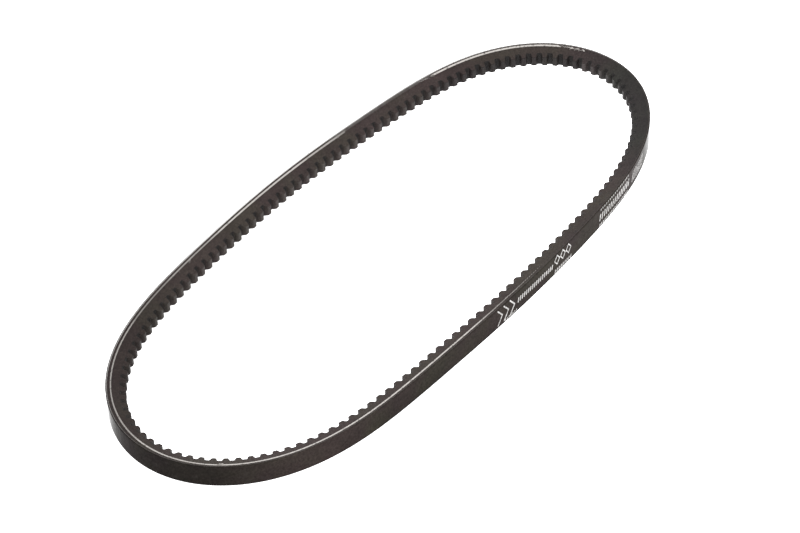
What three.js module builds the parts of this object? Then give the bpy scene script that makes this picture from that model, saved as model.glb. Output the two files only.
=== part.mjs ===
// Raw-edge cogged V-belt with a 10 x 8 mm section and 140 cogs.
//
// The belt lies on its side as a long loop, with the lower edge of its back on
// the plane z = 0. Units are millimetres and +Z is up. A place in the section
// has a depth, from the back towards the cog tips, and a height z across the
// belt, from the lower flank to the upper flank.
import * as THREE from 'three';

// Section
const TOP_WIDTH = 10;
const THICKNESS = 8;
const FLANK_ANGLE = THREE.MathUtils.degToRad(20);
const MIDDLE_Z = TOP_WIDTH / 2;

// Laminate, from the back inward
const PLY_THICKNESS = 0.35;
const OVERCORD_THICKNESS = 0.35;
const CORD_SECTION_START = 1.4;
const CORD_SECTION_END = 2.4;
const LOWER_GUM_THICKNESS = 0.5;
const COG_FABRIC_THICKNESS = 0.3;

// Cogs
const COG_COUNT = 140;
const COG_HEIGHT = 2.2;
const CREST_SHARE = 0.4;
const ROOT_SHARE = 0.62;
const COGS_PER_SPAN = 2;
const SPAN_COUNT = COG_COUNT / COGS_PER_SPAN;

// Tensile cord
const CORD_DEPTH = (CORD_SECTION_START + CORD_SECTION_END) / 2;
const CORD_RADIUS = 0.475;
const CORD_PITCH = 1.1;
const CORD_RUNOUT = 0.35;
const CORD_SIDES = 5;

// The cord line is drawn by a chain of turning arms. Each arm turns the stated
// number of times while the loop is drawn once, and starts at (x, y). The arms
// of 1 and -1 turns draw an ellipse, those of 3 and 5 turns straighten its long
// runs, and the short ones of 2 and 4 turns make the loop lie a little uneven.
const LOOP_ARMS = [
  { turns: 1, x: 107, y: 0 },
  { turns: -1, x: 36, y: 0 },
  { turns: 2, x: -0.8, y: -0.2 },
  { turns: 3, x: 10.3, y: 1.5 },
  { turns: 4, x: -0.3, y: 0.4 },
  { turns: 5, x: 1.9, y: 0.3 },
];

class CordLine extends THREE.Curve {
  constructor() {
    super();
    this.arcLengthDivisions = 2800;
  }

  getPoint(t, target = new THREE.Vector3()) {
    target.set(0, 0, 0);
    for (const arm of LOOP_ARMS) {
      const angle = 2 * Math.PI * arm.turns * t;
      target.x += arm.x * Math.cos(angle) - arm.y * Math.sin(angle);
      target.y += arm.x * Math.sin(angle) + arm.y * Math.cos(angle);
    }
    return target;
  }
}

// Frames stand at the ends of the spans. Every layer uses the same frames, so
// that the layers' faces stay parallel and meet exactly. The first frame is
// half a cog along the cord line, between two cogs.
const FIRST_FRAME = 0.5 / COGS_PER_SPAN;
const cordLine = new CordLine();
const frames = [];
for (let i = 0; i < SPAN_COUNT; i += 1) {
  const share = (i + FIRST_FRAME) / SPAN_COUNT;
  const tangent = cordLine.getTangentAt(share);
  frames.push({
    point: cordLine.getPointAt(share),
    outward: new THREE.Vector3(tangent.y, -tangent.x, 0).normalize(),
  });
}

// A point at a position along the loop, counted in spans.
function locate(position, depth, z) {
  const span = Math.floor(position);
  const start = frames[span % SPAN_COUNT];
  const end = frames[(span + 1) % SPAN_COUNT];
  const share = position - span;
  const point = start.point.clone().lerp(end.point, share);
  const outward = start.outward.clone().lerp(end.outward, share);
  point.addScaledVector(outward, CORD_DEPTH - depth);
  point.z = z;
  return point;
}

function halfWidth(depth) {
  return TOP_WIDTH / 2 - depth * Math.tan(FLANK_ANGLE);
}

function onLowerFlank(position, depth) {
  return locate(position, depth, MIDDLE_Z - halfWidth(depth));
}

function onUpperFlank(position, depth) {
  return locate(position, depth, MIDDLE_Z + halfWidth(depth));
}

function geometryFrom(points, faces) {
  const geometry = new THREE.BufferGeometry();
  geometry.setFromPoints(points);
  geometry.setIndex(faces);
  geometry.computeVertexNormals();
  return geometry;
}

// Joins rings of points into a tube. A closed tube's last ring joins its first,
// and an open tube gets an end face at each end, fanned from the point `apex`.
function tube(rings, { closed = true, apex = 0 } = {}) {
  const size = rings[0].length;
  const joints = closed ? rings.length : rings.length - 1;
  const faces = [];
  for (let ring = 0; ring < joints; ring += 1) {
    const here = ring * size;
    const next = ((ring + 1) % rings.length) * size;
    for (let k = 0; k < size; k += 1) {
      const side = (k + 1) % size;
      faces.push(here + k, next + k, next + side);
      faces.push(here + k, next + side, here + side);
    }
  }
  if (!closed) {
    const last = (rings.length - 1) * size;
    for (let k = 1; k < size - 1; k += 1) {
      const first = (apex + k) % size;
      const second = (apex + k + 1) % size;
      faces.push(apex, first, second);
      faces.push(last + apex, last + second, last + first);
    }
  }
  return geometryFrom(rings.flat(), faces);
}

// A plain layer of the laminate between two depths.
function layer(start, end) {
  const rings = [];
  for (let span = 0; span < SPAN_COUNT; span += 1) {
    rings.push([
      onLowerFlank(span, start),
      onUpperFlank(span, start),
      onUpperFlank(span, end),
      onLowerFlank(span, end),
    ]);
  }
  return tube(rings);
}

// The cogs' outline, as four corners a cog. A skin of zero is the outside of
// the cogs, and a positive skin is the same outline that far below it.
function cogCorners(skin) {
  const pitch = cordLine.getLength() / COG_COUNT;
  const run = ((ROOT_SHARE - CREST_SHARE) / 2) * pitch;
  const lean = Math.atan2(run, COG_HEIGHT);
  const inset = (skin * (1 / Math.cos(lean) - Math.tan(lean))) / pitch;
  const crest = CREST_SHARE / 2 - inset;
  const root = ROOT_SHARE / 2 - inset;
  const crestDepth = THICKNESS - skin;
  const rootDepth = crestDepth - COG_HEIGHT;
  const corners = [];
  for (let cog = 0; cog < COG_COUNT; cog += 1) {
    const middle = cog + 0.5;
    corners.push({ position: (middle - root) / COGS_PER_SPAN, depth: rootDepth });
    corners.push({ position: (middle - crest) / COGS_PER_SPAN, depth: crestDepth });
    corners.push({ position: (middle + crest) / COGS_PER_SPAN, depth: crestDepth });
    corners.push({ position: (middle + root) / COGS_PER_SPAN, depth: rootDepth });
  }
  return corners;
}

// The cogged body has one pair of points a span on its flat side and eight
// pairs a span round its cogs. On each flank, the corners of a span's first cog
// fan out from the span's start, and the rest from its end.
function coggedBody(start, skin) {
  const corners = cogCorners(skin);
  const cornersPerSpan = corners.length / SPAN_COUNT;
  const turnover = cornersPerSpan / 2 - 1;
  const points = [];
  for (let span = 0; span < SPAN_COUNT; span += 1) {
    points.push(onLowerFlank(span, start), onUpperFlank(span, start));
  }
  const firstCorner = points.length;
  for (const { position, depth } of corners) {
    points.push(onLowerFlank(position, depth), onUpperFlank(position, depth));
  }

  const faces = [];
  const flatSide = (span) => 2 * (span % SPAN_COUNT);
  const cogSide = (corner) => firstCorner + 2 * (corner % corners.length);
  const flankTriangle = (a, b, c) => {
    faces.push(a, b, c);
    faces.push(a + 1, c + 1, b + 1);
  };
  for (let span = 0; span < SPAN_COUNT; span += 1) {
    const here = flatSide(span);
    const next = flatSide(span + 1);
    faces.push(here, next, next + 1);
    faces.push(here, next + 1, here + 1);
    for (let k = 0; k < cornersPerSpan; k += 1) {
      const corner = cogSide(span * cornersPerSpan + k);
      const following = cogSide(span * cornersPerSpan + k + 1);
      faces.push(corner, corner + 1, following + 1);
      faces.push(corner, following + 1, following);
      if (k === turnover) {
        flankTriangle(here, corner, next);
      }
      flankTriangle(k < turnover ? here : next, corner, following);
    }
  }
  return geometryFrom(points, faces);
}

function cogFacing(skin) {
  const outside = cogCorners(0);
  const inside = cogCorners(skin);
  const rings = outside.map((corner, i) => [
    onLowerFlank(inside[i].position, inside[i].depth),
    onUpperFlank(inside[i].position, inside[i].depth),
    onUpperFlank(corner.position, corner.depth),
    onLowerFlank(corner.position, corner.depth),
  ]);
  return tube(rings);
}

// One cord winds round the loop from the upper flank to the lower one. Both
// flanks are cut through it, so its outer turns lose the part that would stand
// proud of them.
function woundCord() {
  const travel = 2 * (halfWidth(CORD_DEPTH) + CORD_RUNOUT);
  const steps = Math.round((travel / CORD_PITCH) * SPAN_COUNT);
  const rings = [];
  for (let step = 0; step <= steps; step += 1) {
    const offset = travel * (0.5 - step / steps);
    const ring = [];
    for (let k = 0; k < CORD_SIDES; k += 1) {
      const angle = (2 * Math.PI * k) / CORD_SIDES;
      const depth = CORD_DEPTH + CORD_RADIUS * Math.sin(angle);
      const limit = halfWidth(depth);
      const height = THREE.MathUtils.clamp(offset + CORD_RADIUS * Math.cos(angle), -limit, limit);
      ring.push(locate(step, depth, MIDDLE_Z + height));
    }
    rings.push(ring);
  }
  return tube(rings, { closed: false, apex: 2 });
}

const backCloth = { color: 0x37322f, roughness: 0.42, metalness: 0 };
const plyCloth = { color: 0x6a6664, roughness: 0.75, metalness: 0 };
const gum = { color: 0x2b2726, roughness: 0.7, metalness: 0 };
const cordYarn = { color: 0xd8d0c8, roughness: 0.85, metalness: 0 };
const fibreRubber = { color: 0x494341, roughness: 0.72, metalness: 0 };
const cogCloth = { color: 0x3c3836, roughness: 0.68, metalness: 0 };

function mesh(name, geometry, finish) {
  const piece = new THREE.Mesh(geometry, new THREE.MeshStandardMaterial(finish));
  piece.name = name;
  return piece;
}

const innerPlyStart = PLY_THICKNESS;
const overcordStart = innerPlyStart + PLY_THICKNESS;
const upperGumStart = overcordStart + OVERCORD_THICKNESS;
const bodyStart = CORD_SECTION_END + LOWER_GUM_THICKNESS;

const belt = new THREE.Group();
belt.add(
  mesh('back_fabric_outer_ply', layer(0, innerPlyStart), backCloth),
  mesh('back_fabric_inner_ply', layer(innerPlyStart, overcordStart), plyCloth),
  mesh('overcord_rubber', layer(overcordStart, upperGumStart), gum),
  mesh('upper_adhesion_gum', layer(upperGumStart, CORD_SECTION_START), gum),
  mesh('tensile_cord', woundCord(), cordYarn),
  mesh('lower_adhesion_gum', layer(CORD_SECTION_END, bodyStart), gum),
  mesh('compression_rubber', coggedBody(bodyStart, COG_FABRIC_THICKNESS), fibreRubber),
  mesh('cog_fabric', cogFacing(COG_FABRIC_THICKNESS), cogCloth),
);

// The origin is at the middle of the loop, on the plane that the belt lies on.
const middle = new THREE.Box3().setFromObject(belt).getCenter(new THREE.Vector3());
belt.position.set(-middle.x, -middle.y, 0);

export default belt;
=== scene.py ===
"""Looks of a raw-edge cogged V-belt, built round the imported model.

The belt lies on its side as a long loop. Lengths are in millimetres until a
mesh is made, where they become metres. A place on the belt has a distance
along the cord line, a depth from the back towards the cog tips, and a height
above the middle plane, which is positive towards the upper flank.
"""
import math

import bpy
import numpy as np
from mathutils import Matrix, Vector


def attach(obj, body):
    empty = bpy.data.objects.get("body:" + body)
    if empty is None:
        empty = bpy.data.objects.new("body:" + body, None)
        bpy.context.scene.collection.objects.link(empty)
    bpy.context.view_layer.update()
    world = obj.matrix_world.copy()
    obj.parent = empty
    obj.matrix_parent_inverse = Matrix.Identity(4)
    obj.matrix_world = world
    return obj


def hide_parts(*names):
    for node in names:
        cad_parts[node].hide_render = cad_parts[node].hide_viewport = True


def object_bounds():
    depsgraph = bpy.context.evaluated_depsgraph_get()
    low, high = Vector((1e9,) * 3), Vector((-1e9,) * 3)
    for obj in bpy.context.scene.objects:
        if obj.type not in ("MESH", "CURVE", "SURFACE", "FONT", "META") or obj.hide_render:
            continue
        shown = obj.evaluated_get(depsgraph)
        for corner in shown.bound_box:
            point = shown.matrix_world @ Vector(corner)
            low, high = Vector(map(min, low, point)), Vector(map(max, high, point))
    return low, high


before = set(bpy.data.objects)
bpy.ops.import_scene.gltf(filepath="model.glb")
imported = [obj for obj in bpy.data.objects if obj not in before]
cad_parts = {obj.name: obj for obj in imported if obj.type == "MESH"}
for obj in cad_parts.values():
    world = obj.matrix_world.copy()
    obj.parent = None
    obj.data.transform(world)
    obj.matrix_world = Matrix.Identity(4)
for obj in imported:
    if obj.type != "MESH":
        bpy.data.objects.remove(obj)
cad_low, cad_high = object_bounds()

MM = 0.001

# Section, as in the model
TOP_WIDTH = (cad_high.z - cad_low.z) / MM
THICKNESS = 8.0
FLANK_SLOPE = math.tan(math.radians(20))
OUTER_PLY_END = 0.35
INNER_PLY_END = 0.7
OVERCORD_END = 1.05
CORD_DEPTH = 1.9
LOWER_GUM_END = 2.9
COG_FABRIC = 0.3

# Cogs
COG_COUNT = 140
COG_HEIGHT = 2.2
CREST_SHARE = 0.4
ROOT_SHARE = 0.62
CREST_ROUNDING = 0.65
ROOT_ROUNDING = 0.5

# Unevenness of the faces, and the laminate's steps round the loop
BACK_ROUNDING = 0.3
BACK_WAVE = 0.012
BAND_WAVE = 0.012
BODY_WAVE = 0.02
PLY_STAND = 0.015
LAYER_STEPS = 1476

# Tensile cord
CORD_RADIUS = 0.475
CORD_PITCH = 1.1
CORD_RUNOUT = 0.35
CORD_SIDES = 14
CORD_STEP = 0.5
CORD_LAY = 4.5
STRAND_GROOVE = 0.07

# How much deeper the cord runs at the loop's near end, and how much less deep at its far end.
# Each is a hump, given by its middle and width as shares of the loop.
NEAR_END_SAG = 0.6
NEAR_END_HUMP = (0.472, 0.045)
FAR_END_RISE = 0.3
FAR_END_HUMP = (0.05, 0.07)

# How far the cut cord stands proud of the flank, and the humps where gum covers it or its
# start is torn. A hump's third number flattens its top.
CORD_STAND = 0.05
CORD_FRAY = 0.03
GUM_COVER = 0.2
GUM_COVER_HUMP = (0.142, 0.036, 8)
TORN_DEPTH = 0.16
TORN_HUMP = (0, 0.022, 4)

# Stretches of the cord's first turn that rubber smears, as shares of the loop: from, to, how much
CORD_SMEARS = (
    (0.17, 0.185, 0.62), (0.185, 0.21, 0.35), (0.22, 0.3, 0.12), (0.305, 0.345, 0.55),
    (0.345, 0.38, 0.7), (0.38, 0.475, 0.5), (0.48, 0.52, 0.2), (0.725, 0.8, 0.55),
)

# How far the cord's first turn lies towards the upper flank, at shares of the loop
CORD_DRIFT_AT = (0, 0.1, 0.2, 0.25, 0.3, 0.34, 0.4, 0.44, 0.47, 0.5, 0.54, 0.6, 0.66, 0.7, 0.73, 0.78)
CORD_DRIFT = (-0.14, -0.14, 0.1, 0.23, 0.35, 0.4, 0.5, 0.44, 0.2, 0.1, 0.27, 0.36, 0.42, 0.32, 0.1, 0)

# Tufts of frayed yarn: share of the loop, spread either way and number of hairs
HAIR_TUFTS = ((0.012, 6, 22), (0.108, 4, 9), (0.187, 3, 7), (0.33, 8, 5), (0.735, 10, 12))

# The one spur of yarn: share of the loop, and how far each of its hairs reaches along the belt
HAIR_SPUR = (0.5335, 0.9)
HAIR_RADIUS = 0.05
SPUR_RADIUS = 0.15
SPUR_LIFT = 0.5
HAIR_POINTS = 8
HAIR_SIDES = 5

# Printed marks. Their places are distances along the belt, plus i times the height.
INK_LIFT = 0.02
INK_STEPS = 5
CHEVRON_ROW = (536, 3)
CHEVRON_PITCH = 4.2
CHEVRON_CORNERS = (-3.9j, 3.2 + 0.2j, 4.1j)
CHEVRON_LINE = 0.6
DIAMOND_ROW = (576.5, 3, 1.9, 4.4, 4.6)
DIAMOND_FILL = 0.42
DIAMOND_LINE = 0.5
BAR_LEAN = 0.28

# Rows of bars: start, end, lowest, highest, pitch and line width
BAR_ROWS = (
    (550, 575, -0.8, 1.5, 1.45, 0.65),
    (541, 549, -4.4, -3.4, 1.3, 0.5),
    (577, 590, -4.4, -2.6, 1.5, 0.6),
    (613, 628, -1.5, 1.8, 1.9, 0.65),
    (628.2, 641, -1.5, 1.8, 1.9, 0.8),
    (613, 640, -4.5, -3.1, 1.5, 0.6),
    (614, 640, 3.5, 4.4, 1.6, 0.45),
    (644, 657, -2.6, 2.6, 1.6, 0.4),
)

# Stretches whose looks differ, as shares of the loop
# The first two stretches get painted shade on the flanks.
NEAR_END = (0.385, 0.465)
FAR_END = (0.905, 0.97)
PALEST_BACK = (0.565, 0.62)
PALER_BACK = (0.565, 0.88)
# Where the painted highlight on the plies' cut edges is brightest
BRIGHT_HIGHLIGHT_STRETCH = (0.1, 0.3)
COVERED_CORD = (0.11, 0.183)

# Colours, and the two ends of those that vary, in linear red, green and blue
BACK_DARK = ((0.0112, 0.0092, 0.0092), (0.0148, 0.0118, 0.0115))
BACK_PALE = ((0.0255, 0.0212, 0.0188), (0.0325, 0.0268, 0.0236))
BACK_WORN = (0.05, 0.045, 0.042)
# Painted highlight on the back ply's cut edge
CUT_EDGE_HIGHLIGHT = ((0.26, 0.25, 0.24), (0.5, 0.49, 0.48))
PLY_DULL = ((0.024, 0.019, 0.018), (0.06, 0.052, 0.048))
# Painted highlight on the inner ply's cut edge, and its brightest part
PLY_HIGHLIGHT = ((0.09, 0.085, 0.08), (0.36, 0.35, 0.34))
PLY_BRIGHT_HIGHLIGHT = ((0.22, 0.21, 0.20), (0.66, 0.65, 0.64))
GUM = ((0.025, 0.0183, 0.0165), (0.033, 0.0248, 0.0223))
GUM_PIT = (0.014, 0.011, 0.010)
GUM_DUST = (0.13, 0.125, 0.12)
YARN = ((0.30, 0.28, 0.262), (0.60, 0.572, 0.545))
YARN_SMEAR = (0.04, 0.033, 0.030)
HAIR = ((0.28, 0.26, 0.245), (0.62, 0.59, 0.565))
RUBBER = ((0.026, 0.0190, 0.0170), (0.034, 0.0255, 0.0230))
RUBBER_FIBRE = (0.12, 0.105, 0.095)
COG_CLOTH = ((0.0243, 0.0182, 0.0166), (0.0317, 0.0245, 0.0224))
COG_THREAD = (0.055, 0.046, 0.042)
# Painted shade between the cogs
COG_VALLEY_PAINTED_SHADE = (0.0078, 0.0064, 0.0062)
INK = ((0.05, 0.045, 0.045), (0.50, 0.49, 0.48))

# Tints that colours are multiplied by
PLUM = (1.05, 0.97, 1.03)
OLIVE = (0.97, 1.04, 0.93)
# Painted shade on the flanks at the loop's two ends
NEAR_END_PAINTED_SHADE = (0.63, 0.62, 0.60)
FAR_END_PAINTED_SHADE = (0.58, 0.69, 0.74)
# Painted shade on the cog facing over the loop's first stretch, beside its far end
COG_END_PAINTED_SHADE = (0.37, 0.37, 0.385)

# The cord line: each arm turns this many times while the loop is drawn once.
LOOP_ARMS = (
    (1, 107), (-1, 36), (2, -0.8 - 0.2j), (3, 10.3 + 1.5j), (4, -0.3 + 0.4j), (5, 1.9 + 0.3j),
)
LOOP_SAMPLES = 20000


# ---------------------------------------------------------------- the loop

def trace_loop():
    """Distance along, position and outward direction at each sample of the cord line."""
    angle = np.linspace(0, 2 * math.pi, LOOP_SAMPLES + 1)
    line = sum(arm * np.exp(1j * turns * angle) for turns, arm in LOOP_ARMS)
    heading = sum(1j * turns * arm * np.exp(1j * turns * angle) for turns, arm in LOOP_ARMS)
    outward = -1j * heading / np.abs(heading)
    back = line + outward * CORD_DEPTH
    middle = complex(
        (back.real.max() + back.real.min()) / 2,
        (back.imag.max() + back.imag.min()) / 2,
    )
    along = np.concatenate([[0], np.cumsum(np.abs(np.diff(line)))])
    return along, line - middle, outward


TRACE_ALONG, TRACE_LINE, TRACE_OUTWARD = trace_loop()
LOOP_LENGTH = TRACE_ALONG[-1]
COG_PITCH = LOOP_LENGTH / COG_COUNT


def locate(along, depth, height):
    """Places on the belt as points in metres, in an array with one more axis."""
    along, depth, height = np.broadcast_arrays(along, depth, height)
    wrapped = along % LOOP_LENGTH
    line = np.interp(wrapped, TRACE_ALONG, TRACE_LINE)
    outward = np.interp(wrapped, TRACE_ALONG, TRACE_OUTWARD)
    point = line + outward * (CORD_DEPTH - depth)
    return np.stack([point.real, point.imag, height + TOP_WIDTH / 2], axis=-1) * MM


def half_width(depth):
    return TOP_WIDTH / 2 - np.asarray(depth) * FLANK_SLOPE


def ripple(along, seed, longest, shortest, waves=24):
    """A smooth random line from about -1 to 1 that closes on itself round the loop."""
    draw = np.random.RandomState(seed)
    low = max(1, round(LOOP_LENGTH / longest))
    high = max(low + 1, round(LOOP_LENGTH / shortest))
    counts = draw.randint(low, high + 1, waves)
    phases = draw.uniform(0, 2 * math.pi, waves)
    angle = 2 * math.pi * np.asarray(along)[..., None] / LOOP_LENGTH
    return np.cos(angle * counts + phases).sum(axis=-1) / math.sqrt(waves)


# ---------------------------------------------------------------- meshes

def smooth_by_angle(mesh, degrees):
    mesh.polygons.foreach_set("use_smooth", [True] * len(mesh.polygons))
    mesh.set_sharp_from_angle(angle=math.radians(degrees))


def add_piece(name, mesh, material, nodes=()):
    """A piece that rides on the belt and stands for the CAD nodes named."""
    piece = bpy.data.objects.new(name, mesh)
    bpy.context.scene.collection.objects.link(piece)
    mesh.materials.append(material)
    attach(piece, "root")
    if nodes:
        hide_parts(*nodes)


def ring_mesh(name, points, along, around, closed=True):
    """A tube through rings of points. along has a value for each ring and, on a
    closed tube, one for its return; around has a value for each point of a ring
    and one for its return. Both are in millimetres and become the UV map."""
    rings, size = points.shape[:2]
    spans = rings if closed else rings - 1
    i, k = np.meshgrid(np.arange(spans), np.arange(size), indexing="ij")
    next_i = (i + 1) % rings
    next_k = (k + 1) % size
    quads = np.stack(
        [i * size + k, next_i * size + k, next_i * size + next_k, i * size + next_k], axis=-1
    ).reshape(-1, 4)
    faces = quads.tolist()
    if not closed:
        faces.append(list(range(size)))
        faces.append(list(range(rings * size - 1, (rings - 1) * size - 1, -1)))
    mesh = bpy.data.meshes.new(name)
    mesh.from_pydata(points.reshape(-1, 3).tolist(), [], faces)
    u = np.stack([along[i], along[i + 1], along[i + 1], along[i]], axis=-1).reshape(-1)
    v = np.stack([around[k], around[k], around[k + 1], around[k + 1]], axis=-1).reshape(-1)
    spread = np.zeros((len(mesh.loops), 2))
    spread[: len(u)] = np.stack([u, v], axis=-1)
    layer = mesh.uv_layers.new(name="belt")
    layer.uv.foreach_set("vector", spread.reshape(-1))
    return mesh


def around_section(depths, heights):
    """Distance round a section's outline, with the closing value."""
    depths = np.append(depths, depths[0])
    heights = np.append(heights, heights[0])
    steps = np.hypot(np.diff(depths), np.diff(heights))
    return np.concatenate([[0], np.cumsum(steps)])


def layer_stations():
    """Evenly spaced distances round the loop, with the return."""
    return np.linspace(0, LOOP_LENGTH, LAYER_STEPS + 1)


def plain_layer(name, start, end, stand, seed):
    """A band of the laminate whose cut edges stand proud of the flanks by `stand`."""
    along = layer_stations()
    width = np.array([half_width(start), half_width((start + end) / 2), half_width(end)])
    depths = np.array([start, start, (start + end) / 2, end, end, (start + end) / 2])
    heights = np.array([-width[0], width[0], width[1], width[2], -width[2], -width[1]])
    wander = BAND_WAVE * ripple(along[:-1], seed, 60, 1.5) + stand
    reach = 1 + wander[:, None] / np.abs(heights)
    points = locate(along[:-1, None], depths, heights * reach)
    return ring_mesh(name, points, along, around_section(depths, heights))


# ---------------------------------------------------------------- materials

def start_material(name, **settings):
    """A material with one principled shader, whose named sockets take these values."""
    material = bpy.data.materials.new(name)
    material.use_nodes = True
    tree = material.node_tree
    shader = tree.nodes["Principled BSDF"]
    for socket, value in settings.items():
        shader.inputs[socket.replace("_", " ")].default_value = value
    return material, tree, shader


def add_node(tree, kind, inputs, **attributes):
    """A node whose inputs take values or other nodes' outputs. Returns its first output."""
    node = tree.nodes.new(kind)
    for attribute, value in attributes.items():
        setattr(node, attribute, value)
    for socket, value in inputs.items():
        if isinstance(value, bpy.types.NodeSocket):
            tree.links.new(value, node.inputs[socket])
        else:
            node.inputs[socket].default_value = value
    return node.outputs[0]


def maths(tree, operation, a, b=0.0, c=0.0, clamp=False):
    return add_node(tree, "ShaderNodeMath", {0: a, 1: b, 2: c}, operation=operation, use_clamp=clamp)


def belt_place(tree, along_scale=1.0, around_scale=1.0):
    """The place on the belt from its UV map, in millimetres times the scales."""
    place = add_node(tree, "ShaderNodeUVMap", {}, uv_map="belt")
    return add_node(
        tree, "ShaderNodeMapping", {"Vector": place, "Scale": (along_scale, around_scale, 1)}
    )


def solid_place(tree, scale=1000.0):
    """The place in the part's own frame, in millimetres times scale / 1000."""
    place = tree.nodes.new("ShaderNodeTexCoord").outputs["Object"]
    return add_node(tree, "ShaderNodeMapping", {"Vector": place, "Scale": (scale,) * 3})


def noise(tree, vector, scale, detail=3.0, roughness=0.55):
    values = {"Vector": vector, "Scale": scale, "Detail": detail, "Roughness": roughness}
    return add_node(tree, "ShaderNodeTexNoise", values)


def remap(tree, value, low, high, to_low=0.0, to_high=1.0):
    values = {0: value, 1: low, 2: high, 3: to_low, 4: to_high}
    return add_node(tree, "ShaderNodeMapRange", values, clamp=True)


def mix_colour(tree, blend, share, first, second):
    node = tree.nodes.new("ShaderNodeMix")
    node.data_type = "RGBA"
    node.blend_type = blend
    for index, value in ((0, share), (6, first), (7, second)):
        if isinstance(value, bpy.types.NodeSocket):
            tree.links.new(value, node.inputs[index])
        elif index:
            node.inputs[index].default_value = (*value, 1)
        else:
            node.inputs[index].default_value = value
    return node.outputs[2]


def blend_colour(tree, share, first, second):
    return mix_colour(tree, "MIX", share, first, second)


def bump(tree, height, millimetres, below=None):
    values = {"Strength": 1.0, "Distance": millimetres * MM, "Height": height}
    if below is not None:
        values["Normal"] = below
    return add_node(tree, "ShaderNodeBump", values)


def weave_waves(tree, place, period):
    """Waves across the warp and across the weft of a cloth cut at 45 degrees to the belt."""
    along = add_node(tree, "ShaderNodeSeparateXYZ", {0: place})
    across = along.node.outputs[1]
    step = math.pi / (period * math.sqrt(2))
    warp = maths(tree, "MULTIPLY", maths(tree, "ADD", along, across), step)
    weft = maths(tree, "MULTIPLY", maths(tree, "SUBTRACT", along, across), step)
    return maths(tree, "SINE", warp), maths(tree, "SINE", weft)


def soft_weave(tree, place, period):
    """Height of a plain weave that rubber has filled to a smooth pattern."""
    warp, weft = weave_waves(tree, place, period)
    return maths(tree, "MULTIPLY", warp, weft)


def weave(tree, place, period):
    """Height of a plain weave with its threads standing out."""
    warp, weft = weave_waves(tree, place, period)
    warp_round = maths(tree, "ABSOLUTE", warp)
    weft_round = maths(tree, "ABSOLUTE", weft)
    on_top = maths(tree, "GREATER_THAN", maths(tree, "MULTIPLY", warp, weft), 0.0)
    difference = maths(tree, "SUBTRACT", warp_round, weft_round)
    return maths(tree, "MULTIPLY_ADD", difference, on_top, weft_round)


def link(tree, shader, **sockets):
    for socket, value in sockets.items():
        tree.links.new(value, shader.inputs[socket.replace("_", " ")])


def belt_axes(tree):
    """Distances along the belt and round its section, in millimetres."""
    along = add_node(tree, "ShaderNodeSeparateXYZ", {0: belt_place(tree)})
    return along, along.node.outputs[1]


def stretch(tree, along, shares, fade):
    """1 between two shares of the loop, falling to 0 over `fade` millimetres outside them."""
    start, end = (share * LOOP_LENGTH for share in shares)
    rise = remap(tree, along, start - fade, start)
    fall = remap(tree, along, end, end + fade, 1.0, 0.0)
    return maths(tree, "MULTIPLY", rise, fall)


def fade_out(tree, along, start, end):
    """1 before one share of the loop, falling to 0 at the other."""
    return remap(tree, along, start * LOOP_LENGTH, end * LOOP_LENGTH, 1.0, 0.0)


def tinted(tree, low, high):
    """Rubber between two colours in soft clouds, with a faint shift from plum to olive."""
    solid = solid_place(tree)
    clouds = remap(tree, noise(tree, solid, 0.09, 4, 0.6), 0.35, 0.65)
    drift = remap(tree, noise(tree, solid, 0.045, 2), 0.4, 0.6)
    colour = blend_colour(tree, clouds, low, high)
    specks = remap(tree, noise(tree, solid, 1.1, 4, 0.7), 0.35, 0.65, 0.7, 1.3)
    colour = mix_colour(tree, "MULTIPLY", 1.0, colour, specks)
    plum = mix_colour(tree, "MULTIPLY", 1.0, colour, PLUM)
    olive = mix_colour(tree, "MULTIPLY", 1.0, colour, OLIVE)
    return blend_colour(tree, drift, plum, olive)


def painted_end_shade(tree, colour, along):
    """Paints shade on a flank's colour where the belt turns round the loop's ends."""
    fade = 0.05 * LOOP_LENGTH
    near_end = stretch(tree, along, NEAR_END, fade)
    far_end = stretch(tree, along, FAR_END, fade)
    past_seam = fade_out(tree, along, -0.03, 0.02)
    far_end = maths(tree, "MAXIMUM", far_end, past_seam)
    shaded = mix_colour(tree, "MULTIPLY", near_end, colour, NEAR_END_PAINTED_SHADE)
    return mix_colour(tree, "MULTIPLY", far_end, shaded, FAR_END_PAINTED_SHADE)


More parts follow.
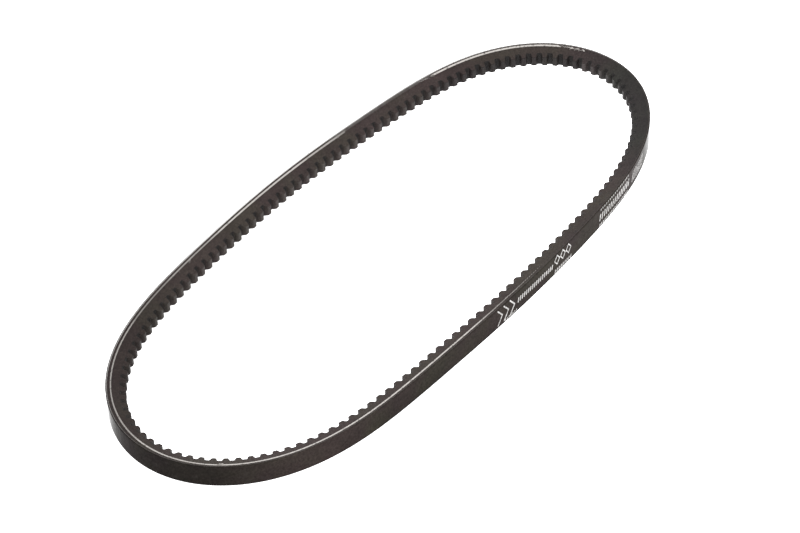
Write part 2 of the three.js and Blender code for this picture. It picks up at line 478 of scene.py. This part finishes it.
def back_cloth():
    """Rubbered cloth, smooth enough to shine where it is seen at a low angle."""
    material, tree, shader = start_material(
        "back_cloth", IOR=1.045, Sheen_Weight=1.0, Sheen_Roughness=0.1
    )
    place = belt_place(tree)
    solid = solid_place(tree)
    along, around = belt_axes(tree)
    grain = noise(tree, solid, 1.6, 4, 0.7)
    worn = remap(tree, noise(tree, solid, 0.3, 5, 0.7), 0.55, 0.75)
    palest = stretch(tree, along, PALEST_BACK, 26)
    paler = stretch(tree, along, PALER_BACK, 26)
    paler = maths(tree, "MAXIMUM", palest, maths(tree, "MULTIPLY", paler, 0.75))
    colour = blend_colour(tree, paler, tinted(tree, *BACK_DARK), tinted(tree, *BACK_PALE))
    colour = blend_colour(tree, maths(tree, "MULTIPLY", worn, 0.35), colour, BACK_WORN)
    # Painted highlight on the cut edge over one long run, brightest over part of it
    edge_highlight_noise = noise(tree, belt_place(tree, 1.0, 0.2), 0.9, 4, 0.7)
    cut_edge = maths(tree, "GREATER_THAN", around, 2 * half_width(0) + 0.2)
    edge_highlight = maths(tree, "MULTIPLY", cut_edge, remap(tree, edge_highlight_noise, 0.4, 0.6, 0.4, 1.0))
    edge_highlight = maths(tree, "MULTIPLY", edge_highlight, edge_highlight_mask(tree, along))
    highlight_colour = blend_colour(tree, bright_highlight_mask(tree, along), *CUT_EDGE_HIGHLIGHT)
    colour = blend_colour(tree, edge_highlight, colour, highlight_colour)
    rough = remap(tree, grain, 0.3, 0.7, 0.06, 0.14)
    threads = bump(tree, soft_weave(tree, place, 0.62), 0.006)
    surface = bump(tree, grain, 0.009, threads)
    link(tree, shader, Base_Color=colour, Roughness=rough, Normal=surface)
    return material


def edge_highlight_mask(tree, along):
    """Where the plies' cut edges get a painted highlight: one long run, from just before its +X end.
    """
    rise = 22.0
    full = 8.0
    before_seam = remap(tree, along, LOOP_LENGTH - rise, LOOP_LENGTH + full)
    past_seam = remap(tree, along, -rise, full)
    run = maths(tree, "MULTIPLY", past_seam, fade_out(tree, along, 0.39, 0.49))
    return maths(tree, "MAXIMUM", before_seam, run)


def bright_highlight_mask(tree, along):
    """Where that painted highlight is brightest."""
    return stretch(tree, along, BRIGHT_HIGHLIGHT_STRETCH, 0.05 * LOOP_LENGTH)


def ply_edge():
    """The cut edge of cloth, with a painted highlight on its yarns over one long run, brightest over
    part of it.
    """
    material, tree, shader = start_material("ply_cloth", Specular_IOR_Level=0.15)
    along = belt_axes(tree)[0]
    yarns = noise(tree, belt_place(tree, 1.0, 1.6), 1.5, 3, 0.6)
    grain = noise(tree, solid_place(tree), 2.5, 4, 0.7)
    dull = blend_colour(tree, remap(tree, yarns, 0.42, 0.62), *PLY_DULL)
    highlighted = blend_colour(tree, remap(tree, yarns, 0.38, 0.6), *PLY_HIGHLIGHT)
    bright_highlighted = blend_colour(tree, remap(tree, yarns, 0.3, 0.5), *PLY_BRIGHT_HIGHLIGHT)
    highlighted = blend_colour(tree, bright_highlight_mask(tree, along), highlighted, bright_highlighted)
    colour = blend_colour(tree, edge_highlight_mask(tree, along), dull, highlighted)
    link(
        tree, shader, Base_Color=colour, Roughness=remap(tree, grain, 0.3, 0.7, 0.6, 0.85),
        Normal=bump(tree, yarns, 0.05),
    )
    return material


def dark_gum(haze=0.0):
    """Gum between the plies and the body. The haze is dust where the gum covers the cut cord."""
    material, tree, shader = start_material("gum", Specular_IOR_Level=0.15)
    solid = solid_place(tree)
    grain = noise(tree, solid, 2.2, 5, 0.7)
    pits = remap(tree, noise(tree, solid, 1.1, 3, 0.6), 0.36, 0.44)
    along = belt_axes(tree)[0]
    colour = blend_colour(tree, pits, GUM_PIT, tinted(tree, *GUM))
    # Painted shade at the loop's ends
    colour = painted_end_shade(tree, colour, along)
    if haze:
        covered = stretch(tree, along, COVERED_CORD, 0.012 * LOOP_LENGTH)
        streaks = noise(tree, belt_place(tree, 0.3, 1.0), 1.2, 4, 0.7)
        dust = remap(tree, streaks, 0.35, 0.6, 0.3 * haze, haze)
        colour = blend_colour(tree, maths(tree, "MULTIPLY", covered, dust), colour, GUM_DUST)
    link(
        tree, shader, Base_Color=colour, Roughness=remap(tree, grain, 0.3, 0.7, 0.55, 0.8),
        Normal=bump(tree, pits, 0.05, bump(tree, grain, 0.02)),
    )
    return material


def cord_yarn():
    """Off-white yarn, speckled with rubber and smeared with it over some stretches."""
    material, tree, shader = start_material("cord", Specular_IOR_Level=0.2)
    along = belt_axes(tree)[0]
    strands = noise(tree, belt_place(tree, 0.6, 5.0), 2.0, 4, 0.6)
    specks = remap(tree, noise(tree, solid_place(tree), 0.9, 4, 0.65), 0.44, 0.36)
    smear = maths(tree, "MULTIPLY", specks, 0.8)
    for start, end, amount in CORD_SMEARS:
        smeared = maths(tree, "MULTIPLY", stretch(tree, along, (start, end), 12), amount)
        smear = maths(tree, "MAXIMUM", smear, smeared)
    colour = blend_colour(tree, strands, *YARN)
    colour = blend_colour(tree, smear, colour, YARN_SMEAR)
    link(
        tree, shader, Base_Color=colour, Roughness=remap(tree, strands, 0.3, 0.7, 0.65, 0.9),
        Normal=bump(tree, strands, 0.06),
    )
    return material


def loose_fibre():
    """Clean yarn, a little uneven."""
    material, tree, shader = start_material("loose_fibre", Specular_IOR_Level=0.2, Roughness=0.8)
    tone = noise(tree, solid_place(tree), 0.8, 3, 0.6)
    link(tree, shader, Base_Color=blend_colour(tree, tone, *HAIR))
    return material


def fibre_rubber():
    """Ground rubber with short pale fibres in it."""
    material, tree, shader = start_material("body_rubber", Specular_IOR_Level=0.15)
    solid = solid_place(tree)
    grain = noise(tree, solid, 2.4, 5, 0.7)
    fibres = remap(tree, noise(tree, solid, 3.6, 1, 0.4), 0.62, 0.72)
    grinding = noise(tree, belt_place(tree, 0.12, 3.0), 1.6, 4, 0.7)
    colour = tinted(tree, *RUBBER)
    colour = blend_colour(tree, maths(tree, "MULTIPLY", fibres, 0.35), colour, RUBBER_FIBRE)
    # Painted shade at the loop's ends
    colour = painted_end_shade(tree, colour, belt_axes(tree)[0])
    link(
        tree, shader, Base_Color=colour, Roughness=remap(tree, grain, 0.3, 0.7, 0.6, 0.85),
        Normal=bump(tree, grinding, 0.03, bump(tree, grain, 0.035)),
    )
    return material


def cog_cloth():
    """Cloth on the cogs, with painted shade between them and near the loop's far end."""
    material, tree, shader = start_material("cog_cloth", Specular_IOR_Level=0.15)
    along = belt_axes(tree)[0]
    grain = noise(tree, solid_place(tree), 2.0, 4, 0.7)
    threads = weave(tree, belt_place(tree), 0.5)
    turn = maths(tree, "COSINE", maths(tree, "MULTIPLY", along, 2 * math.pi / COG_PITCH))
    # Painted shade in the valleys between the cogs
    valley_shade = remap(tree, turn, -0.15, -0.65)
    colour = tinted(tree, *COG_CLOTH)
    colour = blend_colour(tree, maths(tree, "MULTIPLY", threads, 0.25), colour, COG_THREAD)
    # Painted shade at the loop's ends, and more on the facing over the loop's first stretch
    colour = painted_end_shade(tree, colour, along)
    cog_end_shade_share = fade_out(tree, along, 0.08, 0.17)
    colour = mix_colour(tree, "MULTIPLY", cog_end_shade_share, colour, COG_END_PAINTED_SHADE)
    colour = blend_colour(tree, valley_shade, colour, COG_VALLEY_PAINTED_SHADE)
    link(
        tree, shader, Base_Color=colour, Roughness=remap(tree, grain, 0.3, 0.7, 0.5, 0.7),
        Normal=bump(tree, threads, 0.03, bump(tree, grain, 0.02)),
    )
    return material


def print_ink():
    """Off-white ink, worn through to the cloth's colour in specks."""
    material, tree, shader = start_material("print_ink", Specular_IOR_Level=0.2, Roughness=0.5)
    ink_left = remap(tree, noise(tree, solid_place(tree), 1.3, 4, 0.75), 0.38, 0.5)
    link(tree, shader, Base_Color=blend_colour(tree, ink_left, *INK))
    return material


# ---------------------------------------------------------------- the laminate

def back_wave(along):
    """How far the back dips below its even face."""
    return BACK_WAVE * ripple(along, 3, 40, 2)


def make_outer_ply(material):
    """The back, with softly rounded edges."""
    along = layer_stations()
    turn = np.linspace(0, math.pi / 2, 5)
    edge_width = half_width(0)
    face = np.linspace(-1, 1, 13)[1:-1] * (edge_width - BACK_ROUNDING)
    corner_depth = BACK_ROUNDING * (1 - np.sin(turn))
    corner_height = edge_width - BACK_ROUNDING * (1 - np.cos(turn))
    corner_height = corner_height - corner_depth * FLANK_SLOPE
    flat = np.zeros(len(face))
    depths = np.concatenate([corner_depth, flat, corner_depth[::-1], [OUTER_PLY_END] * 2])
    inner = half_width(OUTER_PLY_END)
    heights = np.concatenate([-corner_height, face, corner_height[::-1], [inner, -inner]])
    on_face = depths < BACK_WAVE
    points = locate(along[:-1, None], depths + back_wave(along[:-1, None]) * on_face, heights)
    mesh = ring_mesh("back_outer_ply", points, along, around_section(depths, heights))
    smooth_by_angle(mesh, 40)
    add_piece("back_outer_ply", mesh, material, ["back_fabric_outer_ply"])


def make_band(name, node, start, end, seed, material, stand=0.0):
    """A layer whose cut edges show on the flanks."""
    mesh = plain_layer(name, start, end, stand, seed)
    smooth_by_angle(mesh, 30)
    add_piece(name, mesh, material, [node])


def make_inner_ply(material):
    make_band(
        "back_inner_ply", "back_fabric_inner_ply", OUTER_PLY_END, INNER_PLY_END, 11,
        material, PLY_STAND,
    )


def make_gum_bands(overcord, upper_gum, lower_gum):
    make_band("overcord_band", "overcord_rubber", INNER_PLY_END, OVERCORD_END, 12, overcord)
    make_band("upper_gum_band", "upper_adhesion_gum", OVERCORD_END, CORD_DEPTH, 13, upper_gum)
    make_band("lower_gum_band", "lower_adhesion_gum", CORD_DEPTH, LOWER_GUM_END, 14, lower_gum)


def hump(share, middle, width, power=2):
    """A smooth hump of height 1 round a share of the loop. A higher power flattens its top."""
    return np.exp(-(((share - middle) / width) ** power))


def cord_wander(along):
    """How much deeper than its usual place the cord runs."""
    share = along % LOOP_LENGTH / LOOP_LENGTH
    near_end = hump(share, *NEAR_END_HUMP)
    far_end = hump(share, *FAR_END_HUMP) + hump(share - 1, *FAR_END_HUMP)
    return NEAR_END_SAG * near_end - FAR_END_RISE * far_end


def cord_drift(along):
    """How far towards the upper flank the first turn lies from an even winding. The further
    it lies, the more of it is ground away and the narrower its cut face is."""
    share = along / LOOP_LENGTH
    return np.interp(share, CORD_DRIFT_AT, CORD_DRIFT)


def cord_cut(along, across):
    """How far the cut cord stands proud of the flank. Below zero, gum covers it."""
    share = along / LOOP_LENGTH
    ragged = along + 1.6 * across
    fray = CORD_STAND + CORD_FRAY * ripple(ragged, 21, 12, 0.8)
    cover = hump(share, *GUM_COVER_HUMP)
    torn_start = hump(share, *TORN_HUMP) * (0.55 + 0.8 * ripple(ragged, 22, 7, 1.1))
    return fray - GUM_COVER * cover - TORN_DEPTH * np.clip(torn_start, 0, 1)


def cut_across(across, raised, limit, sink):
    """Narrows the cut face of a cord ring to the chord that the flank cuts from it. `sink`
    is how far the ring's middle lies below the flank."""
    tilt = 1 + FLANK_SLOPE ** 2
    radius = (1 - STRAND_GROOVE) * CORD_RADIUS
    least_reach = 0.04
    reach = np.sqrt(np.clip(radius ** 2 * tilt - sink ** 2, least_reach ** 2, None)) / tilt
    middle = sink * FLANK_SLOPE / tilt
    chord = np.clip(across, middle - reach, middle + reach)
    return np.where(np.abs(raised) > limit, chord, across)


def make_cord(material):
    """One cord of three twisted strands, wound from the upper flank to the lower one."""
    travel = 2 * (half_width(CORD_DEPTH) + CORD_RUNOUT)
    length = travel / CORD_PITCH * LOOP_LENGTH
    run = np.linspace(0, length, round(length / CORD_STEP) + 1)
    along = run + COG_PITCH / 2
    offset = travel * (0.5 - run / length) + cord_drift(along)
    angle = np.linspace(0, 2 * math.pi, CORD_SIDES, endpoint=False)
    twist = 2 * math.pi * along / CORD_LAY
    strands = np.cos(3 * (angle - twist[:, None]))
    radius = CORD_RADIUS * (1 - STRAND_GROOVE + STRAND_GROOVE * strands)
    across = radius * np.sin(angle)
    raised = offset[:, None] + radius * np.cos(angle)
    middle_depth = CORD_DEPTH + cord_wander(along)[:, None]
    cut = cord_cut(along[:, None], across)
    sink = half_width(middle_depth) + cut - np.abs(offset)[:, None]
    across = cut_across(across, raised, half_width(middle_depth + across) + cut, sink)
    depth = middle_depth + across
    limit = half_width(depth) + cut
    height = np.clip(raised, -limit, limit)
    points = locate(along[:, None], depth, height)
    around = np.linspace(0, 2 * math.pi * CORD_RADIUS, CORD_SIDES + 1)
    mesh = ring_mesh("wound_cord", points, along, around, closed=False)
    smooth_by_angle(mesh, 50)
    add_piece("wound_cord", mesh, material, ["tensile_cord"])


def rounded_outline(corners, roundings, steps=5):
    """Corners joined by straight lines, each corner rounded by an arc of its radius.
    The first and last corners stay as they are."""
    points = [corners[0]]
    for before, corner, after, radius in zip(corners, corners[1:], corners[2:], roundings):
        into = (corner - before) / abs(corner - before)
        out = (after - corner) / abs(after - corner)
        bend = np.angle(out / into)
        setback = radius * math.tan(abs(bend) / 2)
        side = 1j * into * np.sign(bend)
        centre = corner - into * setback + side * radius
        for share in np.linspace(0, 1, steps):
            points.append(centre - side * radius * np.exp(1j * bend * share))
    points.append(corners[-1])
    return np.array(points)


def cog_outline(skin):
    """The cogs' outline round the loop, as distances along and depths, `skin` below the
    outside. A cog stands at each whole pitch."""
    run = (ROOT_SHARE - CREST_SHARE) / 2 * COG_PITCH
    lean = math.atan2(run, COG_HEIGHT)
    inset = skin * (1 / math.cos(lean) - math.tan(lean))
    crest = CREST_SHARE / 2 * COG_PITCH - inset
    root = ROOT_SHARE / 2 * COG_PITCH - inset
    middle = COG_PITCH / 2
    top = THICKNESS - skin
    floor = top - COG_HEIGHT
    corners = np.array([
        complex(0, floor),
        complex(middle - root, floor),
        complex(middle - crest, top),
        complex(middle + crest, top),
        complex(middle + root, floor),
        complex(COG_PITCH, floor),
    ])
    root_radius = ROOT_ROUNDING + skin
    crest_radius = CREST_ROUNDING - skin
    outline = rounded_outline(corners, (root_radius, crest_radius, crest_radius, root_radius))[:-1]
    start = (np.arange(COG_COUNT)[:, None] + 0.5) * COG_PITCH
    along = (start + outline.real).reshape(-1)
    return along, np.tile(outline.imag, COG_COUNT)


def make_body(material):
    """The fibre-loaded rubber, from the lower gum to just under the cogs' cloth."""
    along, bottom = cog_outline(COG_FABRIC)
    flank = np.linspace(0, 1, 6)
    across = np.linspace(1, -1, 5)[1:-1]
    down = LOWER_GUM_END + flank * (bottom[:, None] - LOWER_GUM_END)
    floor = np.repeat(bottom[:, None], len(across), axis=1)
    depths = np.concatenate([down, floor, down[:, ::-1]], axis=1)
    wander = BODY_WAVE * ripple(along, 31, 50, 1.2)[:, None]
    upper = half_width(down) + wander * flank
    heights = np.concatenate([upper, across * upper[:, -1:], -upper[:, ::-1]], axis=1)
    points = locate(along[:, None], depths, heights)
    mesh = ring_mesh(
        "cogged_body", points, np.append(along, along[0] + LOOP_LENGTH),
        around_section(depths[0], heights[0]),
    )
    smooth_by_angle(mesh, 35)
    add_piece("cogged_body", mesh, material, ["compression_rubber"])


def make_cog_cloth(material):
    """The cloth on the cogs, from its bonded side to its outside."""
    along_out, outside = cog_outline(0)
    along_in, inside = cog_outline(COG_FABRIC)
    across = np.linspace(1, -1, 9)
    ends = np.array([-1, 1])
    outer_heights = across * half_width(outside)[:, None]
    inner_heights = ends * half_width(inside)[:, None]
    outer = locate(along_out[:, None], outside[:, None], outer_heights)
    inner = locate(along_in[:, None], inside[:, None], inner_heights)
    points = np.concatenate([inner, outer], axis=1)
    outer_start = 6.0
    outer_lengths = outer_start + np.linspace(0, TOP_WIDTH, len(across))
    lengths = np.concatenate([[0, 2 * half_width(inside[0])], outer_lengths, [outer_lengths[-1] + 1]])
    mesh = ring_mesh("cog_facing", points, np.append(along_out, along_out[0] + LOOP_LENGTH), lengths)
    smooth_by_angle(mesh, 35)
    add_piece("cog_facing", mesh, material, ["cog_fabric"])


# ---------------------------------------------------------------- loose yarn and ink

def merged_mesh(name, parts):
    """One mesh from (vertices, faces) pairs."""
    vertices = []
    faces = []
    for part_vertices, part_faces in parts:
        base = len(vertices)
        vertices.extend(part_vertices)
        faces.extend([[base + corner for corner in face] for face in part_faces])
    mesh = bpy.data.meshes.new(name)
    mesh.from_pydata(vertices, [], faces)
    return mesh


def tube_part(rings, closed):
    """Vertices and faces of a tube through rings, with end faces unless it is closed."""
    count, size = rings.shape[:2]
    faces = []
    for i in range(count if closed else count - 1):
        here = i * size
        there = (i + 1) % count * size
        for k in range(size):
            side = (k + 1) % size
            faces.append([here + k, there + k, there + side, here + side])
    if not closed:
        faces.append(list(range(size)))
        faces.append(list(range(count * size - 1, (count - 1) * size - 1, -1)))
    return rings.reshape(-1, 3).tolist(), faces


def loose_hair(start, lean, reach, lift, sway, thickness=HAIR_RADIUS):
    """A fine fibre that leaves the cord on the upper flank, arches and lies back."""
    share = np.linspace(0, 1, HAIR_POINTS)
    along = start + reach * share
    raised = lift * np.sin(math.pi * share ** 0.7) - 0.08 * (1 - share)
    depth = CORD_DEPTH + cord_wander(along) + lean * share + sway * np.sin(2 * math.pi * share)
    radius = thickness * (1 - 0.6 * share)
    angle = np.linspace(0, 2 * math.pi, HAIR_SIDES, endpoint=False)
    ring_depth = depth[:, None] + radius[:, None] * np.sin(angle)
    ring_raised = raised[:, None] + radius[:, None] * np.cos(angle)
    rings = locate(along[:, None], ring_depth, half_width(ring_depth) + ring_raised)
    return tube_part(rings, closed=False)


def make_loose_hairs(material):
    """Tufts of frayed yarn, and one thicker spur of it that stands up from the flank."""
    draw = np.random.RandomState(5)
    hairs = []
    for share, spread, count in HAIR_TUFTS:
        for _ in range(count):
            start = share * LOOP_LENGTH + draw.uniform(-spread, spread)
            lean = draw.uniform(-0.5, 1.1)
            reach = draw.uniform(0.5, 2.4) * draw.choice([-1, 1])
            lift = draw.uniform(0.06, 0.3)
            sway = draw.uniform(-0.2, 0.2)
            hairs.append(loose_hair(start, lean, reach, lift, sway))
    share, reach = HAIR_SPUR
    for step in range(-2, 3):
        start = share * LOOP_LENGTH + 0.1 * step
        way = (-1) ** step
        hairs.append(loose_hair(start, 0.6 + 0.2 * step, reach * way, SPUR_LIFT, 0.05, SPUR_RADIUS))
    mesh = merged_mesh("loose_hairs", hairs)
    smooth_by_angle(mesh, 60)
    add_piece("loose_hairs", mesh, material)


def stroke(corners, width, closed=False):
    """An ink line on the back through complex points: distance along + i height."""
    corners = np.array(corners, dtype=complex)
    if closed:
        corners = np.append(corners, corners[0])
    path = np.concatenate([
        np.linspace(a, b, INK_STEPS, endpoint=False) for a, b in zip(corners, corners[1:])
    ])
    if closed:
        before = np.roll(path, 1)
        after = np.roll(path, -1)
    else:
        path = np.append(path, corners[-1])
        before = np.concatenate([[2 * path[0] - path[1]], path[:-1]])
        after = np.concatenate([path[1:], [2 * path[-1] - path[-2]]])
    into = (path - before) / np.abs(path - before)
    out = (after - path) / np.abs(after - path)
    across = 1j * (into + out) / np.abs(into + out)
    miter = width / 2 / np.real(across * np.conj(1j * into))
    sides = np.stack([path + across * miter, path - across * miter], axis=-1)
    outline = sides[:, [0, 1, 1, 0]]
    depth = back_wave(outline.real) + np.array([-INK_LIFT, -INK_LIFT, INK_LIFT, INK_LIFT])
    return tube_part(locate(outline.real, depth, outline.imag), closed)


def chevrons(start, count):
    """Open arrowheads that point along the belt."""
    places = [start + CHEVRON_PITCH * k for k in range(count)]
    return [stroke([place + corner for corner in CHEVRON_CORNERS], CHEVRON_LINE) for place in places]


def bars(start, end, low, high, pitch, width):
    """A row of even, slanted bars."""
    lean = BAR_LEAN * (high - low)
    places = np.arange(start, end, pitch)
    return [stroke([place + 1j * low, place + lean + 1j * high], width) for place in places]


def diamonds(start, count, middle, length, height):
    """Outlined diamonds in a row."""
    marks = []
    for k in range(count):
        centre = start + length * (k + 0.5) + 1j * middle
        half_length = DIAMOND_FILL * length
        half_height = 0.5j * height
        corners = [
            centre - half_length, centre - half_height,
            centre + half_length, centre + half_height,
        ]
        marks.append(stroke(corners, DIAMOND_LINE, closed=True))
    return marks


def make_ink(material):
    """Two stretches of plain marks in place of a printed line. None of them is a letter."""
    marks = chevrons(*CHEVRON_ROW) + diamonds(*DIAMOND_ROW)
    for row in BAR_ROWS:
        marks += bars(*row)
    add_piece("ink_marks", merged_mesh("ink_marks", marks), material)


# ---------------------------------------------------------------- stage

def make_floor():
    """A pale floor that glows a little more towards the loop's +X end."""
    size = 6.0
    mesh = bpy.data.meshes.new("floor")
    corners = [(-size, -size, 0), (size, -size, 0), (size, size, 0), (-size, size, 0)]
    mesh.from_pydata(corners, [], [(0, 1, 2, 3)])
    floor = bpy.data.objects.new("floor", mesh)
    bpy.context.scene.collection.objects.link(floor)
    material, tree, shader = start_material(
        "floor", Roughness=0.9, Base_Color=(0.85, 0.85, 0.85, 1), Specular_IOR_Level=0.1,
        Emission_Strength=2.0,
    )
    place = tree.nodes.new("ShaderNodeTexCoord").outputs["Object"]
    across = add_node(tree, "ShaderNodeSeparateXYZ", {0: place})
    glow = remap(tree, across, -0.05, 0.14, 0.5, 1.0)
    link(tree, shader, Emission_Color=glow)
    mesh.materials.append(material)


def make_world():
    world = bpy.data.worlds.new("studio")
    world.use_nodes = True
    background = world.node_tree.nodes["Background"]
    background.inputs["Color"].default_value = (1, 1, 1, 1)
    background.inputs["Strength"].default_value = 1.3
    bpy.context.scene.world = world
    bpy.context.scene.view_settings.view_transform = "Standard"


def make_light(name, place, size, watts):
    """A soft square light that points at the belt."""
    data = bpy.data.lights.new(name, "AREA")
    data.shape = "SQUARE"
    data.size = size
    data.energy = watts
    light = bpy.data.objects.new(name, data)
    bpy.context.scene.collection.objects.link(light)
    light.location = place
    light.rotation_mode = "QUATERNION"
    light.rotation_quaternion = (-Vector(place)).to_track_quat("-Z", "Y")


def make_camera():
    """Looks down on the belt from beyond its lower left end, turned a little about its own axis."""
    azimuth = math.radians(-52.57)
    elevation = math.radians(39.63)
    distance = 1.2355
    target = Vector((-0.00437, -0.00771, 0))
    level = math.cos(elevation)
    towards = Vector((math.sin(azimuth) * level, -math.cos(azimuth) * level, math.sin(elevation)))
    data = bpy.data.cameras.new("camera")
    data.lens = 133.6
    data.sensor_width = 36
    camera = bpy.data.objects.new("camera", data)
    bpy.context.scene.collection.objects.link(camera)
    aim = (-towards).to_track_quat("-Z", "Y").to_matrix().to_4x4()
    tilt = Matrix.Rotation(math.radians(-2.79), 4, "Z")
    camera.matrix_world = Matrix.Translation(target + towards * distance) @ aim @ tilt
    bpy.context.scene.camera = camera


make_camera()
make_outer_ply(back_cloth())
make_inner_ply(ply_edge())
make_gum_bands(overcord=dark_gum(haze=1.0), upper_gum=dark_gum(haze=0.45), lower_gum=dark_gum())
make_cord(cord_yarn())
make_body(fibre_rubber())
make_cog_cloth(cog_cloth())
make_loose_hairs(loose_fibre())
make_ink(print_ink())
make_floor()
make_world()
make_light("overhead", place=(-0.2, 0.3, 1.5), size=1.4, watts=10)
